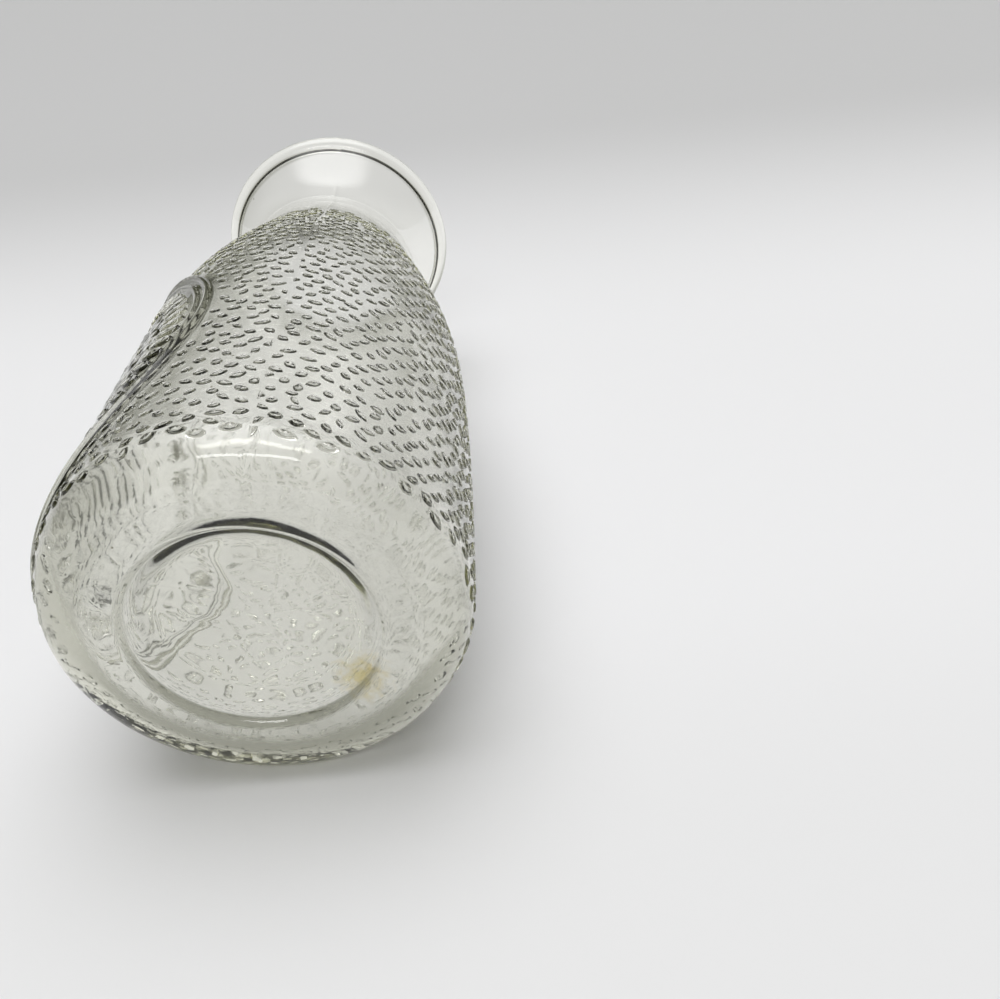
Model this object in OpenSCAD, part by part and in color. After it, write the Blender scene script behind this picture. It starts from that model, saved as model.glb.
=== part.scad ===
// Wide-mouth glass milk bottle, about one quart, moulded in one piece.
// Origin: centre of the standing ring, on the floor. +Z runs up the axis to the mouth.
// The round medallion faces -Y. The mould seams are at +X and -X.
// The one piece of glass is divided into the zones that its mould forms.

/* [Body] */
// Overall height of the bottle
bottle_h = 218; // [214:1:224]
// Radius of the body just above the heel
body_r = 47.5; // [46:0.5:49]
// Radius of the rounded heel
heel_r = 11; // [9:0.5:12]
// Height at which the shoulder starts to curve in
shoulder_z = 104; // [98:1:110]
// Radius of the body at that height
shoulder_r = 45.4; // [44.8:0.2:46.4]

/* [Neck and mouth] */
// Height of the narrowest place of the neck
neck_z = 188; // [184:1:190]
// Outside radius of the neck there
neck_r = 28; // [26.5:0.5:30]
// Outside radius of the rolled lip
lip_r = 40.2; // [38:0.2:42]
// Radius of the lip's round bead
bead_r = 2.8; // [2.4:0.1:3.2]

/* [Glass] */
// Thickness of the side wall
wall = 3.4; // [2.8:0.1:4.2]
// Thickness of the glass in the base
base_t = 6; // [5:0.5:8]

/* [Base] */
// Inner radius of the ring that the bottle stands on
stand_r = 32; // [30:0.5:34]
// Radius of the round panel pressed up in the base
panel_r = 26.4; // [24:0.2:28]
// Height of that panel's edge above the floor
panel_h = 2.2; // [1.4:0.1:3]
// Extra rise of the panel towards its centre
panel_dome = 1.6; // [0.8:0.1:2.4]
// How far the middle of the floor inside is pushed up
floor_rise = 3.2; // [1.6:0.2:3.4]

/* [Pebbles] */
// Height of the pebbles above the glass between them
pebble_rise = 0.6; // [0.4:0.05:0.7]
// Size of a pebble round the bottle
pebble_wide = 4; // [3.4:0.2:4.6]
// Size of a pebble up the bottle
pebble_tall = 2.4; // [2:0.1:2.8]
// Distance from one pebble to the next
pebble_gap = 8.4; // [8:0.2:10]

/* [Medallion] */
// Height of the medallion's centre
medal_z = 63.5; // [60:0.5:66]
// Half its width, measured round the glass
medal_a = 54.5; // [48:0.5:58]
// Half its height
medal_b = 52.5; // [46:0.5:54]
// Width of the frame's outer ridge
ridge_w = 2.2; // [1.8:0.1:3.4]
// Height of the outer ridge above the glass
ridge_h = 1; // [0.6:0.1:1.4]
// Gap between the outer and the inner ridge
ridge_gap = 1.2; // [1:0.1:2.4]
// Number of reeds in the band inside the frame
reed_count = 56; // [24:2:60]
// Length of a reed, towards the medallion's centre
reed_len = 8.5; // [5:0.5:12]

/* [Hidden] */
glass = [0.80, 0.84, 0.78, 0.45];
thick_glass = [0.62, 0.67, 0.58, 0.6];
relief_glass = [0.70, 0.75, 0.67, 0.6];
$fn = 128;

heel_in_r = body_r - heel_r;          // where the heel meets the standing ring
bead_c = [lip_r - bead_r, bottle_h - bead_r];
body_z = 118;                         // top of the body zone, above the medallion
shoulder_top_z = 172;                 // the shoulder has run out into the neck
flare_z = 192;                        // the mouth begins to open
heel_z = heel_r;
inner_heel_r = heel_r - wall + 2;
pebbles_from = 9;                     // height of the lowest row of pebbles
pebbles_to = 164;                     // and of the highest that there is room for

// Cubic curve through a and d that leaves towards b and arrives from c.
function bezier(a, b, c, d, n) =
    [for (i = [0:n]) let (t = i / n, u = 1 - t)
        u * u * u * a + 3 * u * u * t * b + 3 * u * t * t * c + t * t * t * d];

// Points on a circle from angle from to angle to, in degrees.
function arc(c, r, from, to, n) =
    [for (i = [0:n]) let (t = from + (to - from) * i / n) c + r * [cos(t), sin(t)]];

// The outside of the side wall from the heel up, as [radius, height].
body_side = bezier([body_r, heel_z], [body_r, heel_z + 16], [shoulder_r + 2.5, shoulder_z - 28],
                   [shoulder_r, shoulder_z], 14);
shoulder_side = bezier([shoulder_r, shoulder_z], [shoulder_r - 3.2, shoulder_z + 37],
                       [neck_r, neck_z - 14], [neck_r, neck_z], 24);
flare_end = bead_c + bead_r * [cos(-68), sin(-68)];
flare_side = bezier([neck_r, neck_z], [neck_r, neck_z + 12], flare_end - [4.6, 6.2], flare_end, 14);
side = concat(body_side, [for (i = [1:len(shoulder_side) - 1]) shoulder_side[i]],
              [for (i = [1:len(flare_side) - 1]) flare_side[i]]);

// Unit normal of the side line at point i, towards the inside of the bottle.
function side_normal(i) =
    let (p = side[max(i - 1, 0)], q = side[min(i + 1, len(side) - 1)], d = q - p)
    [-d[1], d[0]] / norm(d);
inner_side = [for (i = [0:len(side) - 1]) side[i] + wall * side_normal(i)];

// Smooth step from 0 to 1 between two values.
function step(x, low, high) =
    let (t = min(1, max(0, (x - low) / (high - low)))) t * t * (3 - 2 * t);

// How far the glass between the pebbles lies below their tops, at a height.
function sunk(z) = pebble_rise * step(z, 3.6, 5.6) * (1 - step(z, 160, 170));

// The side as it is between the pebbles.
ground_side = [for (i = [0:len(side) - 1]) side[i] + sunk(side[i][1]) * side_normal(i)];

heel_side = [for (t = [-90:9:0]) [heel_in_r, heel_r] + (heel_r - sunk(heel_r + heel_r * sin(t))) * [cos(t), sin(t)]];
inner_heel_c = [inner_side[0][0] - inner_heel_r, base_t + inner_heel_r];
inner_heel = arc(inner_heel_c, inner_heel_r, 0, -90, 8);

// The underside from the axis out to the standing ring: a shallow dome, its step, the ring.
underside = concat(
    [for (i = [0:8]) let (r = panel_r * i / 8) [r, panel_h + panel_dome * (1 - pow(i / 8, 2))]],
    [[panel_r + 0.5, panel_h - 0.5], [panel_r + 1.1, 0.9], [panel_r + 2, 0.5], [stand_r, 0]]);
floor_line = [for (i = [0:16]) let (r = inner_heel_c[0] * (1 - i / 16))
    [r, base_t + floor_rise * (1 - step(r, 20.5, 30.5)) + panel_dome / 2 * (1 - pow(1 - i / 16, 2))]];

function reversed(list) = [for (i = [len(list) - 1:-1:0]) list[i]];
section = concat(underside, heel_side, [for (i = [1:len(side) - 1]) ground_side[i]],
                 reversed([for (i = [1:len(side) - 1]) inner_side[i]]),
                 inner_heel, [for (i = [1:16]) floor_line[i]]);

// Half section of the glass between two heights, and between two radii.
module band_section(z0, z1, r0 = 0, r1 = 60) {
    intersection() {
        polygon(section);
        translate([r0, z0]) square([r1 - r0, z1 - z0]);
    }
}

// The pressed-up centre of the base, inside the standing ring.
module base_panel() {
    color(thick_glass) rotate_extrude() band_section(0, heel_z + 10, 0, stand_r);
}

// The standing ring and the rounded heel.
module heel() {
    color(thick_glass) rotate_extrude() band_section(0, heel_z, stand_r);
}

module body_wall() {
    color(glass) rotate_extrude() band_section(heel_z, body_z, stand_r);
}

module shoulder() {
    color(glass) rotate_extrude() band_section(body_z, shoulder_top_z);
}

module neck() {
    color(glass) rotate_extrude() band_section(shoulder_top_z, flare_z);
}

// The neck opens like a trumpet up to the rolled lip.
module mouth_flare() {
    color(glass) rotate_extrude() difference() {
        band_section(flare_z, bottle_h);
        translate(bead_c) circle(bead_r, $fn = 48);
    }
}

module lip_bead() {
    color(thick_glass) rotate_extrude() translate(bead_c) circle(bead_r, $fn = 48);
}

// The side between the pebbles at a height, its direction there, and its outward normal.
ground_table = [for (p = concat(heel_side, ground_side)) [p[1], p[0]]];
function ground_at(z) = [lookup(z, ground_table), z];
function ground_along(z) = let (d = ground_at(z + 1) - ground_at(z - 1)) d / norm(d);
function ground_out(z) = let (d = ground_along(z)) [d[1], -d[0]];

// Section of one pebble: its foot follows the wall and its top is a flat with sloping sides.
function pebble_section(z) =
    let (half = pebble_tall / 2 * ground_along(z)[1], rise = pebble_rise * ground_out(z),
         low = z - half, high = z + half)
    concat([ground_at(low)], [for (p = ground_side) if (p[1] > low + 0.02 && p[1] < high - 0.02) p],
           [ground_at(high), ground_at(z + 0.55 * half) + rise, ground_at(z - 0.55 * half) + rise]);

// Whether a place on the side is on the medallion or close to it; turn is 0 at the front.
function at_medallion(z, turn) =
    let (r = ground_at(z)[0], across = asin(min(1, r * abs(sin(turn)) / body_r)) * PI / 180 * body_r)
    cos(turn) > 0 && pow(across / (medal_a + 3.4), 2) + pow((z - medal_z) / (medal_b + 2.6), 2) < 1;

// Staggered rows of pebbles whose heights lie between from and to, clear of the medallion.
module pebble_rows(from, to) {
    for (i = [0:floor((pebbles_to - pebbles_from) / pebble_gap)]) {
        z = pebbles_from + i * pebble_gap;
        r = ground_at(z)[0];
        count = 2 * floor(PI * r / pebble_gap);
        span = pebble_wide / r * 180 / PI;
        if (z >= from && z < to)
            for (k = [0:count - 1])
                let (turn = (k + (i % 2 == 0 ? 0.3 : 0.7)) * 360 / count)
                    if (!at_medallion(z, turn))
                        rotate([0, 0, turn - 90 - span / 2])
                            rotate_extrude(angle = span) polygon(pebble_section(z));
    }
}

module body_pebbles() {
    color(relief_glass) pebble_rows(0, body_z);
}

module shoulder_pebbles() {
    color(relief_glass) pebble_rows(body_z, bottle_h);
}

// Front outline of the medallion, drawn in by the amount inset: an ellipse laid round the wall.
module medallion_outline(inset) {
    polygon([for (i = [0:95]) let (t = 360 * i / 96, turn = (medal_a - inset) * cos(t) / body_r)
        [body_r * sin(turn * 180 / PI), medal_z + (medal_b - inset) * sin(t)]]);
}

// The layer of glass on the front of the body wall, up to the height rise above the pebbles' tops.
module front_layer(rise) {
    intersection() {
        rotate_extrude() difference() {
            polygon(concat([[30, heel_z]], [for (p = side) if (p[1] <= body_z + 6) p + [rise, 0]],
                           [[30, body_z + 6]]));
            polygon(concat([[0, heel_z - 1]], [[ground_side[0][0], heel_z - 1]],
                           [for (p = ground_side) if (p[1] <= body_z + 12) p], [[0, body_z + 12]]));
        }
        translate([-60, -60, 0]) cube([120, 60, body_z + 10]);
    }
}

// One ridge of the frame: the layer cut by a ring that runs straight back, as the mould opens.
module ridge(inset, width, rise) {
    color(relief_glass) intersection() {
        front_layer(rise);
        rotate([90, 0, 0]) linear_extrude(60) difference() {
            medallion_outline(inset);
            medallion_outline(inset + width);
        }
    }
}

module medallion_outer_ridge() {
    ridge(0, ridge_w, ridge_h);
}

module medallion_inner_ridge() {
    ridge(ridge_w + ridge_gap, 1.4, ridge_h * 0.4);
}

// Plain reeds that point from the frame to the centre.
module medallion_reeds() {
    start = ridge_w + ridge_gap + 1.4;
    color(relief_glass) intersection() {
        front_layer(ridge_h * 0.2);
        rotate([90, 0, 0]) linear_extrude(60) intersection() {
            difference() {
                medallion_outline(start + 0.6);
                medallion_outline(start + reed_len);
            }
            for (i = [0:reed_count - 1])
                translate([0, medal_z]) rotate(360 * (i + 0.5) / reed_count)
                    translate([medal_b * 0.5, -1.2]) square([medal_b * 0.6, 2.4]);
        }
    }
}

base_panel();
heel();
body_wall();
shoulder();
neck();
mouth_flare();
lip_bead();
body_pebbles();
shoulder_pebbles();
medallion_outer_ridge();
medallion_inner_ridge();
medallion_reeds();
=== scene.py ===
import math

import bpy
import numpy as np
from mathutils import Matrix, Vector
from mathutils.geometry import delaunay_2d_cdt


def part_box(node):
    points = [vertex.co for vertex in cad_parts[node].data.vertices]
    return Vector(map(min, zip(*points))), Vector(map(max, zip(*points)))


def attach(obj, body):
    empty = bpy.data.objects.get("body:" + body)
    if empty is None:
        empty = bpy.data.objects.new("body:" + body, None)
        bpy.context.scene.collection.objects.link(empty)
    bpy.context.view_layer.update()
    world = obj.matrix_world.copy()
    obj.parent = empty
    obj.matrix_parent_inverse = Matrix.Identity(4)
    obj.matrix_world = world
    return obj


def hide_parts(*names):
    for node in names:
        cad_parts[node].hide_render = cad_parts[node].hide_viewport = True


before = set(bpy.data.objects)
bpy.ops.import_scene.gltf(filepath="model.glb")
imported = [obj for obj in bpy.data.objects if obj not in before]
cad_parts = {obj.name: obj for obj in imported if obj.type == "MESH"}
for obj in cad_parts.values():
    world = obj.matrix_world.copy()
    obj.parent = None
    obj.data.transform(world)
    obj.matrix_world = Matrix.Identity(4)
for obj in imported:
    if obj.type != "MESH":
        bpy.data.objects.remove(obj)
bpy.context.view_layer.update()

mm = 0.001
fullTurn = 2 * math.pi
print("frame loaded")

# section of the glass, in millimetres; the main sizes are the frame's own

lipLow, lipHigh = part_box("lip_bead")
bottle = {
    "bodyRadius": round(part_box("body_pebbles")[1].x / mm, 1),
    "heelRadius": round(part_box("heel")[1].z / mm, 1),
    "shoulderStart": (45.4, 104.0),  # radius and height where the shoulder starts,
    "neckWaist": (28.0, 188.0),  # and of the neck's narrowest place
    "bodyCurve": (16.0, 2.5, 28.0),  # handles: up from the heel, out and down from the shoulder
    "shoulderCurve": (3.2, 37.0, 14.0),  # in and up from there, down from the waist
    "flareCurve": (12.0, 4.6, 6.2),  # up from the waist, in and down from the bead
    "curvePoints": (60, 120, 160, 60),  # on the heel, body, shoulder and flare
    "lipRadius": round(lipHigh.x / mm, 1),
    "beadRadius": round((lipHigh.z - lipLow.z) / mm, 1) / 2,
    "beadFrom": -68.0,  # degrees round the bead where the flare meets it,
    "beadEnd": 8.0,  # and by which it ends before the inner side
    "height": lipHigh.z / mm - 0.01,  # a hair inside the frame's box
    "wall": 3.4,
    "baseThickness": 6.0,
    "innerHeelRadius": 9.6,
    "floorRise": 3.2,  # rise of the floor's middle,
    "floorFlank": (20.9, 29.9),  # and the radii between which it falls away
    "floorDome": 0.8,
    "panelRadius": 26.4,  # the pressed-up panel under the base
    "panelHeight": 2.2,
    "panelDome": 1.6,
    "stepCurve": ((0.9, -0.25), (1.2, 0.5), (2.6, 0.3)),  # from the panel's edge down to the ring
    "ringCurve": ((1.2, -0.15), -0.6, 0.4),  # and on to where the ring is flat
    "standRadius": 32.0,
    "standMiddle": 34.2,
}

rowCounts = {  # rows of points along each stretch of the section
    "panel": 22, "step": 8, "ring": 4, "heel": 12, "neck": 22, "bead": 24,
    "inner": 64, "innerHeel": 12, "floorSide": 26, "floorMiddle": 12,
}


def bezier(points, count):
    # cubic curve: (1-t)^3 a + 3(1-t)^2 t b + 3(1-t) t^2 c + t^3 d
    a, b, c, d = (np.array(p, float) for p in points)
    t = np.linspace(0, 1, count)[:, None]
    return (1 - t) ** 3 * a + 3 * (1 - t) ** 2 * t * b + 3 * (1 - t) * t**2 * c + t**3 * d


def arc(centre, radius, start, end, count):
    # centre plus radius times (cos, sin) of an angle that runs evenly from start to end, in degrees
    t = np.radians(np.linspace(start, end, count))
    return np.array(centre) + radius * np.stack([np.cos(t), np.sin(t)], 1)


def smoothStep(x, low, high):
    # t^2 (3 - 2t), where t goes from 0 to 1 as x goes from low to high
    t = np.clip((x - low) / (high - low), 0, 1)
    return t * t * (3 - 2 * t)


def lengthAlong(line):
    # running sum of the distances between neighbouring points
    return np.concatenate([[0], np.cumsum(np.linalg.norm(np.diff(line, axis=0), axis=1))])


def sideNormals(line):
    # the line's direction turned clockwise by a quarter turn, which points out of the glass
    step = np.gradient(line, axis=0)
    step /= np.linalg.norm(step, axis=1)[:, None]
    return np.stack([step[:, 1], -step[:, 0]], 1)


def outerSide(b):
    # heel arc, body, shoulder and flare as one line of (radius, height)
    r0, z0 = b["bodyRadius"], b["heelRadius"]
    r1, z1 = b["shoulderStart"]
    r2, z2 = b["neckWaist"]
    end = arc(b["beadCentre"], b["beadRadius"], b["beadFrom"], b["beadFrom"], 1)[0]
    counts = b["curvePoints"]
    heel = arc((r0 - z0, z0), z0, -90, 0, counts[0])
    up, outwards, down = b["bodyCurve"]
    body = bezier([(r0, z0), (r0, z0 + up), (r1 + outwards, z1 - down), (r1, z1)], counts[1])
    inwards, up, down = b["shoulderCurve"]
    shoulder = bezier([(r1, z1), (r1 - inwards, z1 + up), (r2, z2 - down), (r2, z2)], counts[2])
    up, inwards, down = b["flareCurve"]
    flare = bezier([(r2, z2), (r2, z2 + up), end - np.array((inwards, down)), end], counts[3])
    return np.concatenate([heel, body[1:], shoulder[1:], flare[1:]]), len(heel)


bottle["beadCentre"] = (bottle["lipRadius"] - bottle["beadRadius"], bottle["height"] - bottle["beadRadius"])
outerLine, heelPoints = outerSide(bottle)
outerNormals = sideNormals(outerLine)
outerLength = lengthAlong(outerLine)


def onSide(length):
    # radius, height and outward normal of the outer side at a length along it
    return [np.interp(length, outerLength, column) for column in (*outerLine.T, *outerNormals.T)]


# flat map of the side: across is the angle times the body radius, and up keeps small shapes true

girth = fullTurn * bottle["bodyRadius"]
front = 1.5 * math.pi * bottle["bodyRadius"]
mapUp = np.concatenate([[0], np.cumsum(np.diff(outerLength) * bottle["bodyRadius"]
                                       / ((outerLine[1:, 0] + outerLine[:-1, 0]) / 2))])


def lengthOfUp(up):
    return np.interp(up, mapUp, outerLength)


def upOfHeight(height):
    return np.interp(height, outerLine[:, 1], mapUp)


def heightOfUp(up):
    return onSide(lengthOfUp(up))[1]


def mapScale(up):
    # how much the flat map enlarges: body radius over the radius there
    return bottle["bodyRadius"] / onSide(lengthOfUp(up))[0]


field = {
    "bottom": 3.6,  # height where the smooth heel ends
    "groundFrom": 5.6,  # height where the ground is at its depth,
    "groundDepth": 0.6,  # below the pebbles' tops
    "fadeFrom": 160.0,  # it comes up again from here to the top
    "top": 170.0,
    "columns": 132,  # points round the bottle
    "lineStep": 1.9,  # between the points along a seam,
    "lineEnd": 1.2,  # and the least length left at its end
    "plainRows": (4.6, 5.6, 167.5, 168.9),  # rows where the ground goes down and comes up
    "seamHalf": 0.4,  # of a mould seam
    "seamRise": 0.16,
    "seamFoot": (0.3, 3.0),  # heights between which it starts,
    "seamEnd": (192.0, 204.0),  # and between which it runs out
    "seamClear": 0.12,  # gap between a seam and an outline
}


def groundLevel(x, up):
    # depth of the plain glass below the pebbles' tops: none on the heel and the neck
    f = field
    z = heightOfUp(up) + 0 * x
    depth = smoothStep(z, f["bottom"], f["groundFrom"]) * (1 - smoothStep(z, f["fadeFrom"], f["top"]))
    return -f["groundDepth"] * depth


def seamRise(turn, height):
    # a thin raised line at both seams, which runs out at both ends
    f = field
    off = np.abs(np.sin(turn)) * bottle["bodyRadius"]
    fade = smoothStep(height, *f["seamFoot"]) * (1 - smoothStep(height, *f["seamEnd"]))
    return f["seamRise"] * (off < f["seamHalf"] * 0.5) * fade


def aroundAngles():
    # even steps round the bottle, with two more columns close to each seam
    even = np.arange(field["columns"]) * fullTurn / field["columns"]
    near = field["seamHalf"] / bottle["bodyRadius"]
    return np.sort(np.concatenate([even, [near, math.pi - near, math.pi + near, fullTurn - near]]))


angles = aroundAngles()
sheetColumns = ("x", "up", "off", "tiltX", "tiltUp", "flankX", "flankUp", "topX", "topUp", "level")


class PointSheet:
    # points of the flat map: rise off the side, slopes of ground, flank and top, level on a bump, fixed edges

    def __init__(self):
        self.parts, self.edges, self.count = [], [], 0

    def add(self, **values):
        shape = np.broadcast_shapes(*(np.shape(v) for v in values.values()))
        columns = [np.broadcast_to(values.get(name, 0.0), shape).reshape(-1) for name in sheetColumns]
        index = self.count + np.arange(columns[0].size).reshape(shape)
        self.parts.append(np.stack(columns, 1).astype(float))
        self.count += columns[0].size
        return index

    def join(self, index, closed):
        following = np.roll(index, -1, -1)
        if not closed:
            index, following = index[..., :-1], following[..., :-1]
        self.edges.append(np.stack([index.reshape(-1), following.reshape(-1)], 1))


def addFrame(sheet):
    # end rows, lines along both seams and beside them, and rows where the ground steps
    f = field
    upLow, upHigh = upOfHeight(f["bottom"]), upOfHeight(f["top"])
    across = np.append(angles, fullTurn) * bottle["bodyRadius"]
    turn = across / bottle["bodyRadius"]
    bottomRow = sheet.add(x=across, up=upLow, off=seamRise(turn, f["bottom"]))
    topRow = sheet.add(x=across, up=upHigh, off=seamRise(turn, f["top"]))
    sheet.join(bottomRow, False)
    sheet.join(topRow, False)
    rows = np.arange(upLow + f["lineStep"], upHigh - f["lineEnd"], f["lineStep"])

    def addLine(column, onSeam):
        rise = seamRise(0.0, heightOfUp(rows)) if onSeam else 0
        line = sheet.add(x=across[column], up=rows, off=groundLevel(across[column], rows) + rise)
        sheet.join(np.concatenate([[bottomRow[column]], line, [topRow[column]]]), False)
        return line

    start, end = addLine(0, True), addLine(-1, True)
    middle = len(angles) // 2
    for column in (middle - 1, middle, middle + 1, 1, -2):
        addLine(column, column == middle)
    for height in f["plainRows"]:
        up = upOfHeight(height)
        for part in (across[2:middle - 1], across[middle + 2:-2]):
            sheet.join(sheet.add(x=part, up=up, off=groundLevel(part, up)), False)
    return bottomRow, topRow, start, end


def lensOutline(halfLength, halfWidth, turn, point, count):
    # ellipse (a cos t, b sin t |sin t|^point) turned by an angle; a high point value sharpens its tips
    t = np.linspace(0, fullTurn, count, endpoint=False)[None, :]
    sine = np.sin(t)
    px = halfLength[:, None] * np.cos(t)
    py = halfWidth[:, None] * sine * np.abs(sine) ** point[:, None]
    c, s = np.cos(turn)[:, None], np.sin(turn)[:, None]
    return px * c - py * s, px * s + py * c


bump = {
    "share": (1.0, 0.86, 0.6),  # each ring's size over the outline's
    "rise": (0.0, 1.0, 0.8),  # its share of the height
    "middle": 0.56,  # the middle's share of the height
    "flank": (1.3, 2.4),  # slope of the side wall at foot and edge
    "top": (-0.7, -1.0),  # outward slope of the top at its edge and inner ring
    "uneven": 0.42,  # spread of the top's slopes
    "lowHeights": (10.0, 16.0),  # from the upper to the lower height, the pebbles become domed:
    "lowShare": (0.0, 0.3, 0.26),  # how much smaller the rings are then,
    "lowTop": 0.9,  # and how much steeper the top
}


def bumpRings(rng, x, up, px, py, height, base, low):
    # rings of points that scale the outline towards the centre while they climb, then the centre itself;
    # flank and top slopes point along the outline's own outward normal
    scale = mapScale(up)[:, None]
    edgeX = np.roll(px, -1, 1) - np.roll(px, 1, 1)
    edgeY = np.roll(py, -1, 1) - np.roll(py, 1, 1)
    size = np.hypot(edgeX, edgeY) + 1e-9
    outX, outY = edgeY / size, -edgeX / size
    uneven = bump["uneven"] * height[:, None] / pebble["height"]
    rings = []
    for level, (share, rise) in enumerate(zip(bump["share"], bump["rise"])):
        keep = slice(None, None, 2 if level == 2 else 1)
        share = share - bump["lowShare"][level] * low[:, None]
        flank = bump["flank"][min(level, 1)]
        top = bump["top"][max(level - 1, 0)] * (1 + bump["lowTop"] * low[:, None])
        spread = uneven * (level > 0)
        shape = (len(x), len(px[0, keep]))
        rings.append({
            "x": x[:, None] + px[:, keep] * share * scale,
            "up": up[:, None] + py[:, keep] * share * scale,
            "off": base[:, None] + height[:, None] * rise + np.zeros(shape),
            "flankX": outX[:, keep] * flank, "flankUp": outY[:, keep] * flank,
            "topX": outX[:, keep] * top + rng.normal(0, 1, shape) * spread,
            "topUp": outY[:, keep] * top + rng.normal(0, 1, shape) * spread,
            "level": np.full(shape, level),
        })
    single = (len(x), 1)
    rings.append({
        "x": x[:, None], "up": up[:, None], "off": (base + height * bump["middle"])[:, None],
        "topX": rng.normal(0, 1, single) * uneven, "topUp": rng.normal(0, 1, single) * uneven,
        "level": np.full(single, 3),
    })
    return rings


def addBumps(sheet, rng, x, up, px, py, height, low):
    # the rings of every bump, with the outline and the edge of the top kept as edges
    for number, ring in enumerate(bumpRings(rng, x, up, px, py, height, groundLevel(x, up), low)):
        index = sheet.add(**ring)
        if number < 2:
            sheet.join(index, True)


medallion = {
    "middle": 63.5,  # height of its middle
    "halfAcross": 54.5,
    "halfUp": 52.5,
    "outerRidge": (0.0, 2.2, 0.95, 176),  # insets of its sides, top above the pebbles', points round it
    "innerRidge": (3.4, 4.8, 0.3, 160),
    "ridgeFoot": 0.35,  # how far a ridge's foot runs out
    "ridgeShares": (0.12, 0.3, 0.5, 0.7, 0.88),  # places over its width,
    "ridgeRises": (0.0, 0.5, 0.88, 1.0, 0.88, 0.5, 0.0),  # with the height from foot to foot,
    "ridgeSlopes": (0.0, 1.0, 0.45, 0.0, -0.45, -1.0, 0.0),  # and the slope over the height
    "reeds": 56,  # leaf-shaped reeds that point to the middle
    "reedFrom": 5.4,
    "reedTo": 13.3,
    "reedHalf": 1.75,
    "reedTips": 0.3,
    "reedRise": 0.2,
    "hammered": 0.14,  # height of the uneven ground inside,
    "hammerWaves": ((0.3, 5.1, 0.4), (1.4, 4.2, 2.1), (2.3, 6.3, 4.0), (0.9, 3.4, 1.2), (2.8, 3.9, 5.3)),
    "grid": (54.0, 1.6, 0.7),  # and the reach, step and shift of its points
    "margin": 0.7,  # clear of pebbles and reeds
}


def insideMedallion(x, up, grow):
    # whether a point, seen from the front, lies in the ellipse made larger by a margin
    m = medallion
    r, z = onSide(lengthOfUp(up))[:2]
    turn = x / bottle["bodyRadius"] - 1.5 * math.pi
    across = np.arcsin(np.clip(np.sin(turn) * r / bottle["bodyRadius"], -1, 1)) * bottle["bodyRadius"]
    share = (across / (m["halfAcross"] + grow)) ** 2 + ((z - m["middle"]) / (m["halfUp"] + grow)) ** 2
    return (share < 1) & (np.cos(turn) > 0)


def medallionRing(inset, count):
    # points of the ellipse, as seen from the front, drawn in by the inset
    t = np.linspace(0, fullTurn, count, endpoint=False)
    across = (medallion["halfAcross"] - inset) * np.cos(t)
    up = upOfHeight(medallion["middle"] + (medallion["halfUp"] - inset) * np.sin(t))
    r = onSide(lengthOfUp(up))[0]
    turn = np.arcsin(np.clip(bottle["bodyRadius"] * np.sin(across / bottle["bodyRadius"]) / r, -1, 1))
    return np.stack([(turn + 1.5 * math.pi) * bottle["bodyRadius"], up], 1)


def hammered(x, up):
    # plain uneven ground: crossing sine waves (direction, length, phase), with their slopes
    total = slopeX = slopeUp = 0
    for turn, length, phase in medallion["hammerWaves"]:
        k, c, s = fullTurn / length, math.cos(turn), math.sin(turn)
        total = total + np.sin(k * (c * x + s * up) + phase)
        slope = k * np.cos(k * (c * x + s * up) + phase)
        slopeX, slopeUp = slopeX + c * slope, slopeUp + s * slope
    size = medallion["hammered"] / math.sqrt(len(medallion["hammerWaves"]) / 2)
    return total * size, -slopeX * size, -slopeUp * size


def addRidge(sheet, start, end, top, count):
    # rings from foot to foot; the tilt points outwards where the ridge climbs towards the middle
    m = medallion
    width, height = end - start, top + field["groundDepth"]
    insets = (-m["ridgeFoot"], *(share * width for share in m["ridgeShares"]), width + m["ridgeFoot"])
    for inset, rise, slope in zip(insets, m["ridgeRises"], m["ridgeSlopes"]):
        ring = medallionRing(start + inset, count)
        inward = ring - ring.mean(0)
        inward /= -np.linalg.norm(inward, axis=1)[:, None]
        index = sheet.add(x=ring[:, 0], up=ring[:, 1], off=groundLevel(*ring.T) + height * rise,
                          tiltX=-inward[:, 0] * slope * height, tiltUp=-inward[:, 1] * slope * height)
        sheet.join(index, True)


def addReeds(sheet, rng):
    # leaf-shaped bumps at even angles, halfway between the two insets
    m = medallion
    t = fullTurn * (np.arange(m["reeds"]) + 0.5) / m["reeds"]
    one = np.ones(len(t))
    inset = (m["reedFrom"] + m["reedTo"]) / 2
    x = (m["halfAcross"] - inset) * np.cos(t) + front
    up = upOfHeight(m["middle"] + (m["halfUp"] - inset) * np.sin(t))
    halfLength = one * (m["reedTo"] - m["reedFrom"]) / 2
    px, py = lensOutline(halfLength, one * m["reedHalf"], t, one * m["reedTips"], pebble["points"])
    addBumps(sheet, rng, x, up, px, py, one * (m["reedRise"] + field["groundDepth"]), 0 * one)


def addBareMiddle(sheet):
    # staggered grid of points on the uneven ground inside the reeds
    m = medallion
    reach, step, shift = m["grid"]
    steps = np.arange(-reach, reach, step)
    gx, gy = np.meshgrid(steps, steps)
    x = (gx + shift * (np.arange(len(gx)) % 2)[:, None]).ravel() + front
    up = gy.ravel() + upOfHeight(m["middle"])
    keep = insideMedallion(x, up, -m["reedTo"] - m["margin"])
    x, up = x[keep], up[keep]
    rise, tiltX, tiltUp = hammered(x, up)
    sheet.add(x=x, up=up, off=groundLevel(x, up) + rise, tiltX=tiltX, tiltUp=tiltUp)


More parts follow.
